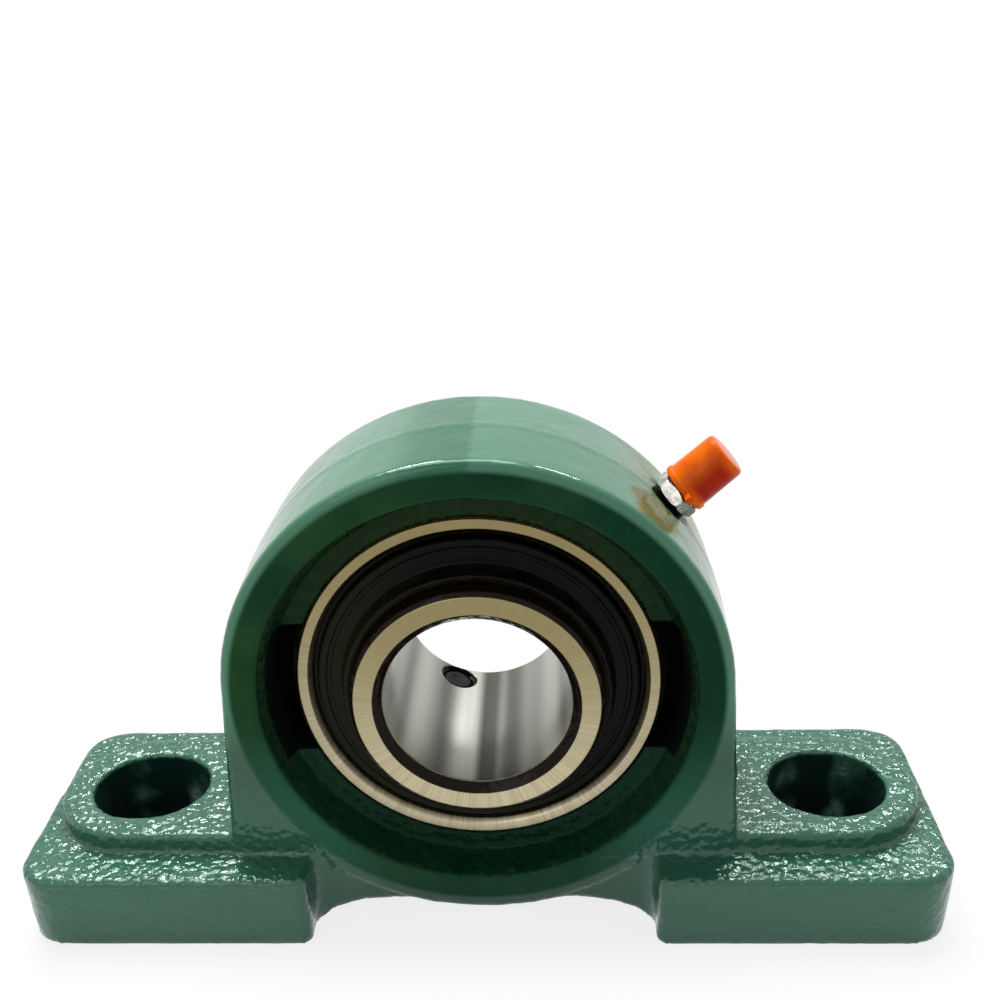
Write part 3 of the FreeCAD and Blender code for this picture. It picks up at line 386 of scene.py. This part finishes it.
def reamed(finish, sideways, upwards, specks):
    """Neutral grey of the reamed bore, with painted reflections in broad bright and dark bands along its
    length.
    """
    turn = finish.reckon("ARCTAN2", sideways, upwards)
    bands = finish.grain(620, 1.0, finish.add("CombineXYZ", turn, 0.0, 0.0), 0.4)
    grey = finish.mixed(finish.between(bands, 0.34, 0.62), tone(62, 64, 58), tone(176, 178, 168))
    grey = finish.mixed(finish.times(specks, 0.8), grey, tone(40, 42, 38))
    # The bottom of the bore is painted darker still, as part of the painted reflections.
    beneath = finish.between(finish.absolute(finish.less(sideways, 0.06)), 0.17, 0.05)
    beneath = finish.times(beneath, finish.between(upwards, -0.5, -0.8))
    return finish.mixed(finish.times(beneath, 0.85), grey, tone(52, 54, 48))


def bright_steel(name, light, dark, rough=0.12, size=1.2, depth=0.008, oiled=None, **gloss):
    """Polished or plated steel with a faint cloudy bloom and light marks, and dark within a radius: oil on
    the seal steel, painted shade at the foot of the nipple's hexagon.
    """
    finish = Finish(name, **{"metallic": 1.0, **gloss})
    bloom = finish.grain(size * 3, 3)
    marks = finish.grain(size * 0.4, 3)
    tint = finish.mixed(finish.between(bloom, 0.3, 0.7), dark, light)
    if oiled:
        _, radius, _ = finish.from_shaft()
        tint = finish.mixed(finish.edge(radius, oiled, oiled - 0.2), tint, tone(22, 18, 13))
    finish.color(tint)
    finish.roughness(finish.between(marks, 0.3, 0.7, rough, rough * 1.8))
    finish.surface(finish.relief(marks, depth))
    return finish.material


def black_rubber():
    finish = Finish("black_rubber", IOR=1.4, Specular_IOR_Level=0.12)
    direction, radius, along = finish.from_shaft()
    dust = finish.grain(2.5, 4)
    rounds = finish.grain(0.5, 2, finish.add("CombineXYZ", radius, along, 0.0))
    sideways, _, upwards = finish.parts(direction)
    olive = finish.between(finish.plus(sideways, finish.times(upwards, 0.6)), 0.5, -0.7)
    rubber = finish.mixed(finish.between(dust, 0.35, 0.7), tone(4, 5, 4), tone(11, 12, 10))
    finish.color(finish.mixed(finish.times(olive, 0.6), rubber, tone(32, 36, 16)))
    # Grease creeps out beside the inner ring and shines.
    greased = finish.edge(radius, 22.2, 21.2)
    wet = finish.times(greased, finish.between(finish.grain(2.2, 3), 0.45, 0.6))
    satin = finish.between(dust, 0.3, 0.7, 0.36, 0.5)
    finish.roughness(finish.less(satin, finish.times(wet, 0.3)))
    skin = finish.relief(finish.grain(0.3, 2), 0.008)
    moulded = finish.relief(rounds, 0.004, skin)
    finish.surface(finish.relief(wet, 0.08, moulded))
    return finish.material


def orange_plastic():
    finish = Finish("orange_plastic", IOR=1.4, Specular_IOR_Level=0.12)
    x, _, z = finish.parts()
    cloudy = finish.grain(3, 3)
    # Painted shade: the moulding is painted redder and deeper on its lower side, where its wall backs on to
    # the nipple's head.
    above = finish.less(z, SHAFT_HEIGHT * MM)
    level, slope = math.cos(math.radians(NIPPLE_ANGLE)), math.sin(math.radians(NIPPLE_ANGLE))
    side = finish.less(finish.times(x, slope), finish.times(above, level))
    reach = finish.plus(finish.times(x, level), finish.times(above, slope))
    head = finish.times(finish.edge(reach, 52.6, 50.2), finish.edge(reach, 44.2, 46.0))
    shade = finish.times(finish.edge(side, -3.12, 0.48), head)
    orange = finish.mixed(finish.between(cloudy, 0.3, 0.7), tone(226, 86, 0), tone(240, 112, 0))
    finish.color(finish.mixed(finish.times(shade, 0.92), orange, tone(168, 14, 0)))
    finish.roughness(finish.between(finish.grain(1.2, 2), 0.3, 0.7, 0.10, 0.2))
    finish.surface(finish.relief(finish.grain(1.0, 2), 0.02))
    return finish.material


GREEN = green_enamel()
RING_STEEL = ground_steel("ring_steel", tone(226, 216, 186), tone(136, 124, 84),
                          oiled=((15.03, 16.55), (19.42, 21.00)), bore=15.02)
RACE_STEEL = ground_steel("race_steel", tone(220, 212, 186), tone(132, 118, 80))
BALL_STEEL = bright_steel("ball_steel", tone(226, 226, 224), tone(200, 200, 198), 0.05)
CAGE_STEEL = bright_steel("cage_steel", tone(188, 184, 174), tone(150, 146, 136), 0.26)
SEAL_STEEL = bright_steel("seal_steel", tone(160, 160, 156), tone(118, 118, 114), 0.28, oiled=21.2)
SCREW_STEEL = bright_steel("screw_steel", tone(14, 14, 14), tone(6, 6, 6), 0.4, 0.6,
                           metallic=0.0, Specular_IOR_Level=0.12)
# The zinc is painted dark within radius 41.5 of the shaft: painted shade of the gap under the hexagon's
# foot.
ZINC_STEEL = bright_steel("zinc_steel", tone(214, 212, 206), tone(150, 148, 140), 0.2, 0.5,
                          depth=0.018, oiled=41.5)
SPRING_STEEL = bright_steel("spring_steel", tone(180, 180, 176), tone(132, 132, 128), 0.24, 0.4)
RUBBER = black_rubber()
ORANGE = orange_plastic()


# Shapes

def spun(corners, steps=180, closed=True):
    """A shape turned about the Y axis from corners of (y, radius, rounding) in millimetres."""
    shape = bmesh.new()
    points = [shape.verts.new((radius * MM, y * MM, 0)) for y, radius, _ in corners]
    following = points[1:] + points[:1] if closed else points[1:]
    for pair in zip(points, following):
        shape.edges.new(pair)
    for point, (_, _, rounding) in zip(points, corners):
        if rounding:
            bmesh.ops.bevel(shape, geom=[point], offset=rounding * MM, offset_type="OFFSET", segments=4,
                            profile=0.5, affect="VERTICES", material=-1, clamp_overlap=True)
    bmesh.ops.spin(shape, geom=shape.verts[:] + shape.edges[:], cent=(0, 0, 0), axis=(0, 1, 0),
                   dvec=(0, 0, 0), angle=math.tau, steps=steps, use_merge=True)
    bmesh.ops.remove_doubles(shape, verts=shape.verts[:], dist=0.002 * MM)
    bmesh.ops.recalc_face_normals(shape, faces=shape.faces[:])
    return shape


def round_edges(shape, rounding):
    bmesh.ops.bevel(shape, geom=shape.edges[:], offset=rounding * MM, offset_type="OFFSET", segments=3,
                    profile=0.5, affect="EDGES", material=-1)


def hex_prism(flats, start, end, rounding=0.0):
    """A hexagonal bar along Z from start to end."""
    shape = bmesh.new()
    radius = flats / 2 / math.cos(math.pi / 6) * MM
    bmesh.ops.create_cone(shape, cap_ends=True, segments=6, radius1=radius, radius2=radius,
                          depth=(end - start) * MM)
    bmesh.ops.translate(shape, verts=shape.verts[:], vec=(0, 0, (start + end) / 2 * MM))
    if rounding:
        round_edges(shape, rounding)
    return shape


def as_object(name, shape):
    mesh = bpy.data.meshes.new(name)
    shape.to_mesh(mesh)
    shape.free()
    thing = bpy.data.objects.new(name, mesh)
    bpy.context.scene.collection.objects.link(thing)
    return thing


def settle(thing):
    """Keeps what the modifiers make of a piece as its mesh."""
    bpy.context.view_layer.update()
    made = bpy.data.meshes.new_from_object(thing.evaluated_get(bpy.context.evaluated_depsgraph_get()))
    thing.modifiers.clear()
    thing.data = made


def cut(thing, tool, operation="DIFFERENCE"):
    """Cuts one shape by another, which is then gone."""
    knife = as_object("knife", tool)
    modifier = thing.modifiers.new("cut", "BOOLEAN")
    modifier.operation = operation
    modifier.solver = "EXACT"
    modifier.object = knife
    settle(thing)
    bpy.data.objects.remove(knife)


def dress(thing, finish, slot, body, *nodes, sharp=32):
    """Gives a piece its finish and its body, and lets it stand for its nodes."""
    thing.data.materials.clear()
    thing.data.materials.append(finish)
    thing.data.shade_smooth()
    thing.data.set_sharp_from_angle(angle=math.radians(sharp))
    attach(thing, body)
    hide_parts(*nodes)
    return thing


def turned(name, corners, finish, slot, body, *nodes, place=on_shaft, steps=180):
    shape = spun(corners, steps)
    shape.transform(place)
    return dress(as_object(name, shape), finish, slot, body, *nodes)


def on_side(side, corners):
    return [(side * y, radius, rounding) for y, radius, rounding in corners]


# Housing

VOXEL = 0.52
LUMPS = ((4.5, 0.13), (1.9, 0.07))
CALM_ABOVE = 30
CALM = 0.4


def lumps_at(place):
    """How far sand and paint push the skin out at a place, and less on the ring than on the feet."""
    height = sum(noise.noise(place / size) * rise for size, rise in LUMPS)
    return height * (CALM if place.z > CALM_ABOVE else 1.0)


def cast_housing():
    """The casting, remeshed evenly, its edges softened and its skin made uneven as sand leaves it."""
    thing = bpy.data.objects.new("cast_housing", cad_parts["housing"].data.copy())
    bpy.context.scene.collection.objects.link(thing)
    shape = bmesh.new()
    shape.from_mesh(thing.data)
    bmesh.ops.remove_doubles(shape, verts=shape.verts[:], dist=0.001 * MM)
    shape.to_mesh(thing.data)
    shape.free()
    remesh = thing.modifiers.new("even", "REMESH")
    remesh.mode = "VOXEL"
    remesh.voxel_size = VOXEL * MM
    hug = thing.modifiers.new("hug", "SHRINKWRAP")
    hug.wrap_method = "NEAREST_SURFACEPOINT"
    hug.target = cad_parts["housing"]
    thin = thing.modifiers.new("thin", "DECIMATE")
    thin.ratio = 0.5
    settle(thing)
    shape = bmesh.new()
    shape.from_mesh(thing.data)
    bmesh.ops.smooth_vert(shape, verts=shape.verts[:], factor=0.5,
                          use_axis_x=True, use_axis_y=True, use_axis_z=True)
    shape.normal_update()
    for point in shape.verts:
        place = point.co / MM
        from_axis = math.hypot(place.x, place.z - SHAFT_HEIGHT)
        if from_axis >= SEAT_REACH and place.z >= UNDERSIDE:
            point.co += point.normal * lumps_at(place) * MM
    shape.to_mesh(thing.data)
    shape.free()
    return dress(thing, GREEN, "green_enamel", "housing", "housing", sharp=180)


cast_housing()


# Rings of the bearing

def race(bottom, half, side):
    """Corners along a ball groove, whose middle is at this radius."""
    centre = bottom - side * RACE_CURVE
    reach = math.asin(half / RACE_CURVE)
    angles = [reach * step / 8 for step in range(-8, 9)]
    return [(RACE_CURVE * math.sin(angle), centre + side * RACE_CURVE * math.cos(angle), 0)
            for angle in angles]


def on_sphere(places):
    """Corners on the spherical outside of the insert."""
    return [(y, math.sqrt(INSERT_RADIUS ** 2 - y ** 2), 0) for y in places]


def outer_race():
    face_radius = math.sqrt(INSERT_RADIUS ** 2 - 9 ** 2)
    groove_start, groove_end, groove_floor = 1.6, 5.5, 30.2
    outside = on_sphere([*range(-9, 2), 1.5, groove_start])
    groove = [(groove_start, groove_floor, 0), (groove_end, groove_floor, 0)] + on_sphere([groove_end + 0.1])
    seat = [(INSERT_REACH, face_radius - 0.5, 0.1), (INSERT_REACH, 27.7, 0.12), (8.7, 26.9, 0.1),
            (6.9, 26.9, 0.05), (6.9, 27.3, 0), (5.95, 27.3, 0), (5.95, 25.8, 0.1)]
    balls = race(PITCH_RADIUS + BALL_RADIUS + BALL_PLAY, OUTER_RACE_HALF, 1)
    corners = outside + groove + on_sphere(range(6, 10)) + seat + balls[::-1] + on_side(-1, seat[::-1])
    return turned("outer_race", corners, RACE_STEEL, "ring_steel", "insert_outer", "outer_ring", steps=220)


def ring_end(reach):
    """Corners of one end of the inner ring, from the bore outwards."""
    return [(reach - BORE_CHAMFER, BORE_RADIUS, 0.25), (reach, BORE_RADIUS + BORE_CHAMFER, 0.2),
            (reach, INNER_RADIUS - INNER_CHAMFER, 0.15), (reach - INNER_CHAMFER, INNER_RADIUS, 0.15)]


def inner_race():
    balls = race(PITCH_RADIUS - BALL_RADIUS - BALL_PLAY, INNER_RACE_HALF, -1)
    shape = spun(on_side(-1, ring_end(SHORT_END)) + balls + ring_end(LONG_END)[::-1], 220)
    shape.transform(on_shaft)
    thing = as_object("inner_race", shape)
    for angle in SCREW_ANGLES.values():
        cut(thing, bore_through(angle))
    return dress(thing, RING_STEEL, "ring_steel", "shaft_ring", "inner_ring", sharp=30)


def bore_through(angle):
    """Tapped hole for a set screw: a plain bore with a small countersink inside and out."""
    shape = spun([(10, 0, 0), (10, 3.5, 0), (15.1, 3.5, 0), (15.6, 3.0, 0), (19.7, 3.0, 0),
                  (20.2, 3.5, 0), (23, 3.5, 0), (23, 0, 0)], 48, closed=False)
    shape.transform(out_from_shaft(angle, 0, SCREW_PLANE) @ across)
    return shape


outer_race()
inner_race()


# Seals and slingers

SEAL_CORE = [(5.95, 22.4, 0.05), (5.95, 27.25, 0.15), (6.85, 27.25, 0.05), (6.85, 26.75, 0.05),
             (6.45, 26.75, 0.15), (6.45, 22.4, 0.05)]
SEAL_RUBBER = [(6.45, 26.75, 0), (6.45, 22.4, 0), (5.95, 22.4, 0), (5.95, 21.7, 0.2), (6.45, 20.2, 0.05),
               (6.8, 20.2, 0.1), (6.8, 21.7, 0.2), (7.15, 22.4, 0.3), (7.15, 25.6, 0.3), (7.9, 26.3, 0.2),
               (7.9, 26.85, 0.15), (6.85, 26.85, 0.05), (6.85, 26.75, 0)]
SLINGER_PLATE = [(8.0, 20.15, 0.1), (12.6, 20.15, 0.1), (12.6, 20.75, 0.1), (8.5, 20.75, 0.15),
                 (8.5, 25.3, 0.1), (8.0, 25.3, 0.1)]
SLINGER_RUBBER = [(8.5, 20.75, 0), (8.5, 25.3, 0), (8.0, 25.3, 0), (8.0, 25.6, 0.1), (8.3, 25.9, 0.15),
                  (9.0, 25.9, 0.2), (9.3, 25.6, 0.2), (9.3, 24.75, 0.1), (9.05, 24.55, 0.1),
                  (9.05, 24.05, 0.1), (9.3, 23.85, 0.1), (9.3, 22.1, 0.3), (10.5, 21.5, 0.3),
                  (12.3, 21.5, 0.2), (12.6, 21.2, 0.2), (12.6, 20.75, 0)]

for side_name, side in (("front", -1), ("back", 1)):
    for part, corners, finish, slot, body in (
            ("seal_{}_core", SEAL_CORE, SEAL_STEEL, "seal_steel", "insert_outer"),
            ("seal_{}_rubber", SEAL_RUBBER, RUBBER, "black_rubber", "insert_outer"),
            ("slinger_{}_plate", SLINGER_PLATE, SEAL_STEEL, "seal_steel", "shaft_ring"),
            ("slinger_{}_rubber", SLINGER_RUBBER, RUBBER, "black_rubber", "shaft_ring")):
        node = part.format(side_name)
        turned("turned_" + node, on_side(side, corners), finish, slot, body, node)


# Set screws

def set_screw(name, angle):
    """Headless screw with a cup point and a hexagon socket."""
    shape = spun([(0.6, 0, 0), (0.0, 1.6, 0.1), (0.0, 2.35, 0.1), (0.6, SCREW_RADIUS, 0.1),
                  (SCREW_LENGTH - 0.6, SCREW_RADIUS, 0.1), (SCREW_LENGTH, 2.35, 0.15), (SCREW_LENGTH, 0, 0)],
                 64, closed=False)
    shape.transform(across)
    thing = as_object("cup_" + name, shape)
    cut(thing, hex_prism(SOCKET_FLATS, 3.0, 7.0))
    thing.data.transform(out_from_shaft(angle, SCREW_POINT, SCREW_PLANE))
    return dress(thing, SCREW_STEEL, "screw_steel", name, name, sharp=28)


for screw_name, screw_angle in SCREW_ANGLES.items():
    set_screw(screw_name, screw_angle)


# Grease nipple and its cap

def grease_fitting():
    """Hexagon with turned corners, a thread below it and the coupling head above."""
    stem = spun([(-5.6, 0.7, 0), (-5.6, 2.3, 0.1), (-4.9, 3.0, 0.1), (0.1, 3.0, 0), (0.1, 2.0, 0),
                 (4.8, 2.0, 0.15), (5.7, 2.9, 0.2), (8.2, 1.8, 0.15), (8.2, 0.75, 0.05), (7.6, 0.75, 0),
                 (7.6, 1.15, 0), (-3.4, 1.15, 0), (-3.4, 0.7, 0)], 64)
    stem.transform(across)
    hexagon = as_object("grease_fitting", hex_prism(NIPPLE_FLATS, 0.0, FLATS_HEIGHT, 0.12))
    crown = spun([(-0.1, 0, 0), (-0.1, 3.25, 0), (1.0, 3.25, 0.1), (1.2, 3.75, 0.1), (1.5, 4.05, 0.2),
                  (2.75, 4.05, 0.3), (3.3, 3.25, 0), (3.3, 0, 0)], 64, closed=False)
    crown.transform(across)
    cut(hexagon, crown, "INTERSECT")
    core = spun([(-1, 0, 0), (-1, 1.15, 0), (4, 1.15, 0), (4, 0, 0)], 64, closed=False)
    core.transform(across)
    cut(hexagon, core)
    cut(hexagon, stem, "UNION")
    hexagon.data.transform(on_nipple)
    return dress(hexagon, ZINC_STEEL, "zinc_steel", "housing", "grease_nipple", sharp=28)


def orange_cap():
    """Moulded cap: a flange at its foot, a slightly tapered wall, a rounded end rim and a pull tab."""
    shape = spun([(7.9, 0, 0), (7.9, 3.05, 0.3), (0, 3.05, 0.1), (0, 4.15, 0.25), (1.0, 4.15, 0.3),
                  (1.0, 3.9, 0.2), (8.7, 3.75, 0.7), (8.7, 0, 0)], 96, closed=False)
    shape.transform(across)
    cap = as_object("orange_cap", shape)
    tab = bmesh.new()
    bmesh.ops.create_cube(tab, size=1)
    bmesh.ops.scale(tab, vec=(1.2 * MM, 2.15 * MM, 1.0 * MM), verts=tab.verts[:])
    round_edges(tab, 0.2)
    bmesh.ops.translate(tab, vec=(0, -4.87 * MM, 0.5 * MM), verts=tab.verts[:])
    cut(cap, tab, "UNION")
    cap.data.transform(on_cap)
    return dress(cap, ORANGE, "orange_plastic", "dust_cap", "dust_cap")


grease_fitting()
orange_cap()


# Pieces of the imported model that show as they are

kept = {"cage_front_half": CAGE_STEEL, "cage_back_half": CAGE_STEEL, "cage_rivets": CAGE_STEEL,
        "nipple_spring": SPRING_STEEL, "nipple_check_ball": BALL_STEEL}
kept.update({f"ball_{number}": BALL_STEEL for number in range(1, 10)})
for node, finish in kept.items():
    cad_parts[node].data.materials.clear()
    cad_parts[node].data.materials.append(finish)


# Floor, light and camera

FOOTPRINT = (76, 20, 0)
SHADE_WIDTH = 20
WORLD_LIGHT = 0.36

# The floor and the softboxes are in metres, and each softbox's power is in watts.
FLOOR_RADIUS = 4.0
LIT_PLACE = (0, 0, 0.03)
SOFTBOXES = {
    "top_softbox": ((-0.12, 0.32, 0.76), (0.60, 0.45), 5.6),
    "front_softbox": ((-0.35, -0.55, 0.55), (0.5, 0.5), 1.0),
    "narrow_left_softbox": ((-0.25, 0.48, 0.66), (0.22, 0.06), 1.9),
    "narrow_right_softbox": ((0.30, 0.50, 0.62), (0.20, 0.05), 1.6)}

CAMERA_PLACE = (11.0, -172.1, 141.9)
CAMERA_YAW, CAMERA_PITCH, CAMERA_ROLL = 0.03823, 0.53021, -0.02672
PICTURE_PIXELS = 1000
FOCAL_PIXELS = 1182.0
AXIS_PIXEL = (507.8, 667.7)
SENSOR = 36


def sees_white(tree):
    """1 for a ray from the camera, off gloss or through glass, and 0 for plain light."""
    rays = tree.nodes.new("ShaderNodeLightPath")
    most = rays.outputs["Is Camera Ray"]
    for kind in ("Is Glossy Ray", "Is Transmission Ray"):
        either = tree.nodes.new("ShaderNodeMath")
        either.operation = "MAXIMUM"
        tree.links.new(most, either.inputs[0])
        tree.links.new(rays.outputs[kind], either.inputs[1])
        most = either.outputs[0]
    return most


def pale_floor():
    """A pale disc that turns to plain white away from the housing's own shade."""
    shape = bmesh.new()
    bmesh.ops.create_circle(shape, cap_ends=True, segments=96, radius=FLOOR_RADIUS)
    floor = as_object("pale_floor", shape)
    finish = Finish("pale_floor", Roughness=0.9)
    finish.color((0.9, 0.9, 0.9, 1.0))
    footprint = tuple(v * MM for v in FOOTPRINT)
    past = finish.vector("SUBTRACT", finish.vector("ABSOLUTE", finish.place), footprint)
    distance = finish.length(finish.vector("MAXIMUM", past, (0, 0, 0)))
    far = finish.edge(distance, 0, SHADE_WIDTH, 0.80, 1.0)
    white = finish.add("Emission", (1, 1, 1, 1), 1.0)
    share = finish.times(far, sees_white(finish.tree))
    mixed = finish.add("MixShader", share, finish.skin.outputs[0], white)
    finish.feed(finish.tree.nodes["Material Output"].inputs["Surface"], mixed)
    floor.data.materials.append(finish.material)


def white_room():
    world = bpy.data.worlds.new("white_room")
    world.use_nodes = True
    tree = world.node_tree
    background = tree.nodes["Background"]
    background.inputs["Color"].default_value = (1, 1, 1, 1)
    strength = tree.nodes.new("ShaderNodeMapRange")
    strength.inputs["To Min"].default_value = WORLD_LIGHT
    strength.inputs["To Max"].default_value = 1.0
    tree.links.new(sees_white(tree), strength.inputs["Value"])
    tree.links.new(strength.outputs[0], background.inputs["Strength"])
    bpy.context.scene.world = world


def softbox(name, place, size, power):
    lamp = bpy.data.lights.new(name, "AREA")
    lamp.shape = "RECTANGLE"
    lamp.size, lamp.size_y = size
    lamp.energy = power
    thing = bpy.data.objects.new(name, lamp)
    thing.location = place
    thing.rotation_euler = (Vector(LIT_PLACE) - Vector(place)).to_track_quat("-Z", "Y").to_euler()
    thing.visible_camera = False
    bpy.context.scene.collection.objects.link(thing)


def camera():
    """At the photograph's place, from the base and ring outlines seen there."""
    flat = math.cos(CAMERA_PITCH)
    forward = Vector((-math.sin(CAMERA_YAW) * flat, math.cos(CAMERA_YAW) * flat, -math.sin(CAMERA_PITCH)))
    level = Vector((math.cos(CAMERA_YAW), math.sin(CAMERA_YAW), 0))
    up = level.cross(forward)
    right = level * math.cos(CAMERA_ROLL) + up * math.sin(CAMERA_ROLL)
    top = up * math.cos(CAMERA_ROLL) - level * math.sin(CAMERA_ROLL)
    data = bpy.data.cameras.new("camera")
    data.sensor_width = SENSOR
    data.lens = SENSOR * FOCAL_PIXELS / PICTURE_PIXELS
    data.shift_x = (PICTURE_PIXELS / 2 - AXIS_PIXEL[0]) / PICTURE_PIXELS
    data.shift_y = (AXIS_PIXEL[1] - PICTURE_PIXELS / 2) / PICTURE_PIXELS
    data.clip_start = 0.01
    thing = bpy.data.objects.new("camera", data)
    turn = Matrix((right, top, -forward)).transposed().to_4x4()
    thing.matrix_world = Matrix.Translation(Vector(CAMERA_PLACE) * MM) @ turn
    bpy.context.scene.collection.objects.link(thing)
    bpy.context.scene.camera = thing


pale_floor()
white_room()
for softbox_name, (box_place, box_size, box_power) in SOFTBOXES.items():
    softbox(softbox_name, box_place, box_size, box_power)
camera()
bpy.context.scene.view_settings.view_transform = "Standard"
